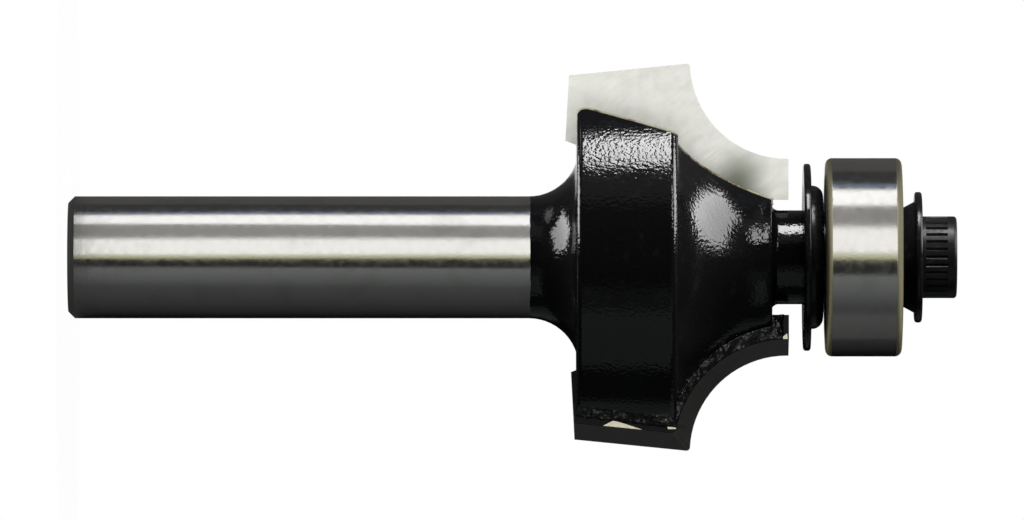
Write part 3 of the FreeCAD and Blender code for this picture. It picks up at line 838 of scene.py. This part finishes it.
@dataclass
class Studio:
    """The floor, the cards that light the bit, the white surround and the camera."""

    floor_radius: float = 30 * MM
    floor_drop: float = 0.02 * MM
    ambient: float = 0.55
    camera_distance: float = 1100 * MM
    field_width: float = 67.07 * MM
    aim_height: float = 29.05 * MM
    aim_across: float = 0.18 * MM
    sensor: float = 36.0
    cards: list[LightCard] = field(
        default_factory=lambda: [
            LightCard("card_edge_blue", 88, 94, 0.30, (0.55, 0.72, 1.0)),
            LightCard("card_top_dark", 94, 118, 0.045),
            LightCard("card_top_rear", 118, 172, 0.085, (1.0, 0.98, 0.95)),
            LightCard("card_grey", 36, 64, 0.335, (1.0, 0.99, 0.97)),
            LightCard("card_gap_front", -20, 5, 0.022),
            LightCard("card_low", -58, -20, 0.068, (0.95, 1.0, 1.0), 0.19),
            LightCard("card_low_rear", -150, -58, 0.004, (0.95, 1.0, 1.0), 0.068),
            LightCard("card_low_far", -180, -150, 0.004),
            LightCard("card_rear", 172, 180, 0.9),
            LightCard("flag_strip", 64, 88, 0.0),
            LightCard("flag_front", 5, 36, 0.0),
        ]
    )
    ends: list[EndCard] = field(
        default_factory=lambda: [
            EndCard("end_top_light", 300 * MM, 90, 0.10),
            EndCard("end_top_dark", 300 * MM, -90, 0.03),
            EndCard("end_low_light", -150 * MM, 90, 0.05),
            EndCard("end_low_dark", -150 * MM, -90, 0.02),
        ]
    )
    lamps: list[StripLamp | EndLamp] = field(
        default_factory=lambda: [
            StripLamp("strip_for_shank", 64.3, 87, 1.38, Lit.SHANK),
            StripLamp("strip_for_bearing", 62.5, 85.2, 1.46, Lit.BEARING),
            StripLamp("low_for_bearing", -150, -30, 0.03, Lit.BEARING),
            StripLamp("front_for_metal", 5, 34, 1.22, Lit.BRIGHT, (1.0, 1.0, 0.98)),
            StripLamp("soft_for_metal", 34, 37, 0.62, Lit.BRIGHT),
            StripLamp("olive_for_metal", -2, 5, 0.62, Lit.BRIGHT, (1.0, 1.0, 0.62)),
            EndLamp(
                "top_for_metal", 290 * MM, -300 * MM, 300 * MM, 300 * MM, 300 * MM, 0.38, Lit.BRIGHT,
                tint=(1.0, 0.98, 0.78),
            ),
            EndLamp(
                "low_for_metal", -140 * MM, -300 * MM, 300 * MM, 300 * MM, 300 * MM, 0.30, Lit.BRIGHT,
                faces_up=True, tint=(1.0, 0.98, 0.72),
            ),
            StripLamp("strip_for_carbide", 65, 87, 1.7, Lit.CARBIDE),
            StripLamp("front_for_carbide", -24, 36, 1.28, Lit.CARBIDE, (1.0, 1.0, 0.985)),
            StripLamp("strip_for_coat", 61.5, 84, 36.0, Lit.COATED, low=32 * MM, high=120 * MM),
            StripLamp("spot_for_coat", 24, 46, 15.0, Lit.COATED, low=185 * MM, high=250 * MM),
            StripLamp("fill_for_coat", -95, -15, 0.32, Lit.COATED, (0.92, 1.0, 1.0)),
            StripLamp("rear_fill_for_coat", -165, -90, 0.12, Lit.COATED, (0.92, 1.0, 1.0)),
            EndLamp("top_for_coat", 280 * MM, 34 * MM, 245 * MM, 90 * MM, 118 * MM, 14.5, Lit.COATED),
            EndLamp(
                "low_for_coat", -130 * MM, 200 * MM, 320 * MM, 60 * MM, 60 * MM, 2.5, Lit.COATED,
                faces_up=True,
            ),
            EndLamp(
                "floor_for_coat", 1 * MM, 4 * MM, 25 * MM, 8 * MM, 20 * MM, 13.0, Lit.COATED,
                faces_up=True,
            ),
        ]
    )

    def build(self) -> None:
        """Builds the whole studio."""
        self.ground = self.floor()
        for light in (*self.cards, *self.ends):
            light.build()
        self.surround()
        self.camera()
        log.info("studio: floor, %d cards, surround and camera", len(self.cards))

    def light(self, pieces: dict[Lit, list[bpy.types.Object]]) -> None:
        """Hangs the lamps and points each at the surfaces that it lights.

        Args:
            pieces: the bit's objects by kind of surface.
        """
        for lamp in self.lamps:
            lamp.build().light_linking.receiver_collection = self.lit_group(pieces, lamp.lit)
        metal = self.lit_group(pieces, Lit.CARBIDE | Lit.BRIGHT)
        self.ground.light_linking.receiver_collection = metal

    def lit_group(self, pieces: dict[Lit, list[bpy.types.Object]], lit: Lit) -> bpy.types.Collection:
        """Gathers the objects that a lamp lights.

        Args:
            pieces: the bit's objects by kind of surface.
            lit: the kinds to gather.

        Returns:
            Their collection.
        """
        group = bpy.data.collections.new(f"lit_{lit.value}")
        for kind, members in pieces.items():
            for member in members if kind in lit else []:
                group.objects.link(member)
        return group

    def floor(self) -> bpy.types.Object:
        """Lays the round floor that the bit stands on.

        Returns:
            The floor.
        """
        mesh = bmesh.new()
        bmesh.ops.create_circle(mesh, cap_ends=True, segments=96, radius=self.floor_radius)
        bmesh.ops.translate(mesh, verts=mesh.verts, vec=(0, 0, -self.floor_drop))
        floor = new_object("floor", mesh)
        floor.data.materials.append(PaleFloor().material())
        return floor

    def surround(self) -> None:
        """Makes the world white to the camera and in reflections, and a soft fill elsewhere."""
        world = bpy.data.worlds.new("surround")
        bpy.context.scene.world = world
        world.use_nodes = True
        tree = world.node_tree
        tree.nodes.clear()
        path = tree.nodes.new("ShaderNodeLightPath").outputs
        seen: bpy.types.NodeSocket = path["Is Camera Ray"]
        for kind in ("Is Glossy Ray", "Is Transmission Ray"):
            either = tree.nodes.new("ShaderNodeMath")
            either.operation = "MAXIMUM"
            tree.links.new(seen, either.inputs[0])
            tree.links.new(path[kind], either.inputs[1])
            seen = either.outputs[0]
        level = tree.nodes.new("ShaderNodeMapRange")
        tree.links.new(seen, level.inputs[0])
        level.inputs[3].default_value = self.ambient
        level.inputs[4].default_value = 1.0
        white = tree.nodes.new("ShaderNodeBackground")
        white.inputs[0].default_value = (1, 1, 1, 1)
        tree.links.new(level.outputs[0], white.inputs[1])
        out = tree.nodes.new("ShaderNodeOutputWorld")
        tree.links.new(white.outputs[0], out.inputs[0])

    def camera(self) -> None:
        """Sets the camera level with the bit's middle, rolled so that the shank lies to the left."""
        data = bpy.data.cameras.new("camera")
        data.sensor_width = self.sensor
        data.lens = self.sensor * self.camera_distance / self.field_width
        data.clip_end = 10.0
        camera = bpy.data.objects.new("camera", data)
        bpy.context.scene.collection.objects.link(camera)
        right, up, back = Vector((0, 0, 1)), Vector((-1, 0, 0)), Vector((0, -1, 0))
        turn = Matrix((right, up, back)).transposed().to_4x4()
        place = Vector((self.aim_across, -self.camera_distance, self.aim_height))
        camera.matrix_world = Matrix.Translation(place) @ turn
        bpy.context.scene.camera = camera


@dataclass
class CutterBody:
    """The one-piece steel body: a bright shank and a black-coated head that meet at the coat's edge.

    A round is its lowest and highest place on the axis and the radius that it lies outside.
    """

    node: str = "bit_body"
    coat_edge: float = 30.24 * MM
    rim_inside: float = 3.5 * MM
    cut_slack: float = 0.0005 * MM
    edge_wave: float = 0.075 * MM
    wave_length: float = 0.55 * MM
    sharp_angle: float = math.radians(24)
    cut_angle: float = math.radians(42)
    rounds: tuple[tuple[float, float, float], ...] = (
        (33.2 * MM, 33.8 * MM, 11.0 * MM),
        (39.2 * MM, 39.9 * MM, 9.5 * MM),
        (45.8 * MM, 46.1 * MM, 4.5 * MM),
    )

    def build(self) -> dict[Lit, list[bpy.types.Object]]:
        """Builds both parts of the body.

        Returns:
            The bright part and the coated part.
        """
        shank = self.part("shank", Vector((0, 0, 1)), GroundSteel().material())
        head = self.part("cutter_head", Vector((0, 0, -1)), BlackCoat().material())
        return {Lit.SHANK: [shank], Lit.COATED: [head]}

    def part(self, name: str, away: Vector, finish: bpy.types.Material) -> bpy.types.Object:
        """Cuts one part from the whole body, closes it and gives the cut the coat edge's waves.

        Args:
            name: the piece's name.
            away: the way to what is cut off.
            finish: the part's material.

        Returns:
            The piece, riding with the bit.
        """
        mesh = merged_copy(self.node)
        cut = bmesh.ops.bisect_plane(
            mesh,
            geom=[*mesh.verts, *mesh.edges, *mesh.faces],
            dist=self.cut_slack,
            plane_co=(0, 0, self.coat_edge),
            plane_no=away,
            clear_outer=True,
        )
        rim = [item for item in cut["geom_cut"] if isinstance(item, bmesh.types.BMEdge)]
        outer = [edge for edge in rim if edge.verts[0].co.xy.length > self.rim_inside]
        bmesh.ops.holes_fill(mesh, edges=outer, sides=0)
        for vertex in {vertex for edge in outer for vertex in edge.verts}:
            vertex.co.z += self.edge_wave * noise.noise(vertex.co / self.wave_length)
        return finished_piece(name, mesh, finish, self.node, self.is_sharp)

    def is_sharp(self, edge: bmesh.types.BMEdge) -> bool:
        """Tells whether an edge stays sharp: on a round, only where a gullet cuts it."""
        place = (edge.verts[0].co + edge.verts[1].co) / 2
        on_round = any(
            low < place.z < high and place.xy.length > inner for low, high, inner in self.rounds
        )
        return edge.calc_face_angle(0.0) > (self.cut_angle if on_round else self.sharp_angle)


@dataclass
class CarbideTips:
    """The two carbide plates, the lumpy braze that holds them and the pale line along the steel's edge
    in front of each.

    The flakes are bare solder behind wing 2's plate, as millimetres along and out from the axis.
    """

    tips: tuple[str, ...] = ("carbide_tip_1", "carbide_tip_2")
    joints: tuple[str, ...] = ("braze_joint_1", "braze_joint_2")
    plate_back: float = 1.8 * MM
    cell: float = 0.14 * MM
    passes: int = 8
    lump_sizes: tuple[float, ...] = (0.55 * MM, 0.26 * MM)
    lump_heights: tuple[float, ...] = (0.16 * MM, 0.09 * MM)
    edge_wander: float = 0.12 * MM
    wander_seed: int = 3
    bead_height: float = 0.36 * MM
    bead_slack: float = 0.004 * MM
    root_steepness: float = 6.0
    flake_depth: float = 0.03 * MM
    flake_cell: float = 0.05 * MM
    flakes: tuple[tuple[tuple[float, float], ...], ...] = (
        ((34.94, 11.05), (35.66, 10.68), (36.30, 10.85), (37.63, 11.29)),
        ((39.20, 11.06), (39.66, 10.84), (40.38, 11.02), (40.48, 11.22), (39.26, 11.24)),
        ((46.58, 5.34), (47.04, 4.98), (47.08, 5.34)),
    )
    edge_radius: float = 0.07 * MM
    gullet_heights: tuple[float, float] = (32.5 * MM, 47.0 * MM)
    gullet_reach: tuple[float, float] = (3.3 * MM, 0.02 * MM)
    gullet_sharpness: float = math.radians(25)

    def build(self) -> dict[Lit, list[bpy.types.Object]]:
        """Dresses the plates, and builds their beads, the bare flakes and the pale edge lines.

        Returns:
            The carbide, the solder and the pale edge lines.
        """
        plates = dress(list(self.tips), GroundCarbide().material())
        painted = SilverBraze().material()
        bare = SilverBraze("bare_braze", bare_share=(0.0, 0.25), depth=0.006 * MM).material()
        beads = [self.bead(node, painted) for node in self.joints]
        flakes = [self.flake(place, outline, bare) for place, outline in enumerate(self.flakes)]
        line = EdgeLine().material()
        # A thin pale line along the steel's edge in front of each rake face.
        lines = [self.pale_edge_line(wing, line) for wing in range(len(self.tips))]
        return {Lit.CARBIDE: [*plates, *beads, *flakes, *lines]}

    def bead(self, node: str, finish: bpy.types.Material) -> bpy.types.Object:
        """Builds one joint, with lumps where it stands on the plate's back.

        Args:
            node: the joint's solid.
            finish: the painted solder.

        Returns:
            The piece.
        """
        noise.seed_set(self.wander_seed)  # Blender seeds noise_vector from the clock.
        mesh = merged_copy(node)
        for _ in range(self.passes):
            bmesh.ops.triangulate(mesh, faces=mesh.faces)
            long = [edge for edge in mesh.edges if edge.calc_length() > self.cell]
            long = [edge for edge in long if sum(map(self.above, edge.verts)) > 0]
            bmesh.ops.subdivide_edges(mesh, edges=long, cuts=1)
        bmesh.ops.triangulate(mesh, faces=mesh.faces)
        mesh.normal_update()
        moves = {vertex: self.lump(vertex) for vertex in mesh.verts if self.above(vertex) >= 0}
        for vertex, move in moves.items():
            vertex.co += move
        bmesh.ops.recalc_face_normals(mesh, faces=mesh.faces)
        name = node.replace("joint", "bead")
        return finished_piece(name, mesh, finish, node, lambda edge: False)

    def above(self, vertex: bmesh.types.BMVert) -> float:
        """Returns how far a vertex stands behind the plate's back, with a hair's slack."""
        return abs(vertex.co.y) - self.plate_back + self.bead_slack

    def lump(self, vertex: bmesh.types.BMVert) -> Vector:
        """Works out how one vertex of a bead moves.

        Args:
            vertex: the vertex, still in its place.

        Returns:
            The move: outward in lumps, and aside where the bead runs thin.
        """
        share = min(1.0, self.above(vertex) / self.bead_height)
        behind = math.copysign(1.0, vertex.co.y)
        rise = 0.0
        for size, height in zip(self.lump_sizes, self.lump_heights):
            rise += height * (0.5 + noise.noise(vertex.co / size))
        wander = noise.noise_vector(vertex.co / self.lump_sizes[0]) * self.edge_wander * (1.0 - share)
        rooted = min(1.0, share * self.root_steepness)
        return Vector((wander.x, behind * rise * rooted, wander.z))

    def flake(
        self, place: int, outline: tuple[tuple[float, float], ...], finish: bpy.types.Material
    ) -> bpy.types.Object:
        """Builds one bare flake of solder, laid on the back and the flank of wing 2's plate.

        Args:
            place: its number, from 0.
            outline: its corners, along and out from the axis, in millimetres.
            finish: the bare solder.

        Returns:
            The piece.
        """
        plate = merged_copy(self.tips[1])
        surface = BVHTree.FromBMesh(plate)
        plate.free()
        mesh = bmesh.new()
        behind = -2 * self.plate_back
        mesh.faces.new([mesh.verts.new((out * MM, behind, along * MM)) for along, out in outline])
        for _ in range(self.passes):
            bmesh.ops.triangulate(mesh, faces=mesh.faces)
            long = [edge for edge in mesh.edges if edge.calc_length() > self.flake_cell]
            bmesh.ops.subdivide_edges(mesh, edges=long, cuts=1)
        bmesh.ops.triangulate(mesh, faces=mesh.faces)
        for vertex in mesh.verts:
            vertex.co = surface.ray_cast(vertex.co, Vector((0, 1, 0)))[0]
        lifted = bmesh.ops.extrude_face_region(mesh, geom=mesh.faces[:])["geom"]
        top = [item for item in lifted if isinstance(item, bmesh.types.BMVert)]
        bmesh.ops.translate(mesh, verts=top, vec=(0, -self.flake_depth, 0))
        bmesh.ops.recalc_face_normals(mesh, faces=mesh.faces)
        flake = new_object(f"braze_flake_{place + 1}", mesh)
        flake.data.materials.append(finish)
        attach(flake, "bit")
        log.info("built %s", flake.name)
        return flake

    def pale_edge_line(self, wing: int, finish: bpy.types.Material) -> bpy.types.Object:
        """Builds the pale line along the steel's edge in front of one rake face.

        Args:
            wing: 0 for wing 1, 1 for wing 2.
            finish: the line's material.

        Returns:
            The piece.
        """
        line = bpy.data.curves.new("gullet_edge", "CURVE")
        line.dimensions = "3D"
        line.bevel_depth = self.edge_radius
        line.bevel_resolution = 2
        line.use_fill_caps = True
        places = self.gullet_edge(-1.0 if wing == 0 else 1.0)
        path = line.splines.new("POLY")
        path.points.add(len(places) - 1)
        for point, place in zip(path.points, places):
            point.co = (*place, 1.0)
        guide = bpy.data.objects.new("gullet_edge", line)
        edge = bpy.data.objects.new(f"pale_edge_line_{wing + 1}", bpy.data.meshes.new_from_object(guide))
        bpy.data.objects.remove(guide)
        bpy.context.scene.collection.objects.link(edge)
        edge.data.materials.clear()
        edge.data.materials.append(finish)
        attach(edge, "bit")
        log.info("built %s", edge.name)
        return edge

    def gullet_edge(self, side: float) -> list[Vector]:
        """Finds the edge between one gullet's floor and the head.

        Args:
            side: -1 for wing 1 and 1 for wing 2.

        Returns:
            The edge's places in order: the longest run of sharp edges in front of the rake face.
        """
        body = merged_copy("bit_body")
        body.normal_update()
        left = dict.fromkeys(edge for edge in body.edges if self.in_gullet(edge, side))
        runs = []
        while left:
            first, _ = left.popitem()
            run = list(first.verts)
            for _ in range(2):
                while onward := [edge for edge in run[-1].link_edges if edge in left]:
                    del left[onward[0]]
                    run.append(onward[0].other_vert(run[-1]))
                run.reverse()
            runs.append([vertex.co.copy() for vertex in run])
        body.free()
        return max(runs, key=run_length)

    def in_gullet(self, edge: bmesh.types.BMEdge, side: float) -> bool:
        """Tells whether an edge is sharp and lies in front of one rake face, on the head."""
        (low, high), (near, ahead) = self.gullet_heights, self.gullet_reach
        placed = all(
            side * vertex.co.y > ahead and vertex.co.xy.length > near and low < vertex.co.z < high
            for vertex in edge.verts
        )
        sideways = side * (edge.verts[0].co.x + edge.verts[1].co.x) > 0
        return placed and sideways and edge.calc_face_angle(0.0) > self.gullet_sharpness


@dataclass
class GuideBearing:
    """The ball bearing that follows the work, with its seals and cage."""

    rings: tuple[str, ...] = ("bearing_inner_ring", "bearing_outer_ring")
    seals: tuple[str, ...] = ("bearing_seal_rear", "bearing_seal_front")
    balls: int = 7

    def build(self) -> dict[Lit, list[bpy.types.Object]]:
        """Dresses the rings, seals, cage and balls.

        Returns:
            The bright objects and the dark ones.
        """
        bright = dress(list(self.rings), BearingSteel().material())
        balls = [f"ball_{place + 1}" for place in range(self.balls)]
        bright += dress(balls, GroundSteel("ball_steel").material())
        dark = dress(list(self.seals), SealRubber().material())
        dark += dress(["ball_cage"], CagePolymer().material())
        return {Lit.BEARING: bright, Lit.COATED: dark}


@dataclass
class Clamping:
    """The washers and the screw that hold the bearing on the stem."""

    finishes: dict[str, BlackOxide] = field(
        default_factory=lambda: {
            "rear_washer": BlackOxide(
                "black_oxide_rear_washer", roughness=(0.08, 0.15), skin_depth=0.006 * MM
            ),
            "front_washer": BlackOxide("black_oxide_front_washer", dull_radius=3.72 * MM),
            "cap_screw": BlackOxide("black_oxide_cap_screw", dull_radius=3.0 * MM),
        }
    )

    def build(self) -> dict[Lit, list[bpy.types.Object]]:
        """Dresses the washers and the screw.

        Returns:
            The blackened objects.
        """
        dark = []
        for name, finish in self.finishes.items():
            dark += dress([name], finish.material())
        return {Lit.COATED: dark}


def main() -> None:
    """Builds the studio and dresses each sub-assembly in order."""
    logging.basicConfig(level=logging.INFO, format="%(name)s: %(message)s")
    bpy.context.scene.view_settings.view_transform = "Standard"
    studio = Studio()
    studio.build()
    surfaces: dict[Lit, list[bpy.types.Object]] = {}
    for part in (CutterBody(), CarbideTips(), GuideBearing(), Clamping()):
        for kind, members in part.build().items():
            surfaces.setdefault(kind, []).extend(members)
        log.info("%s done", type(part).__name__)
    studio.light(surfaces)


if __name__ == "__main__":
    main()
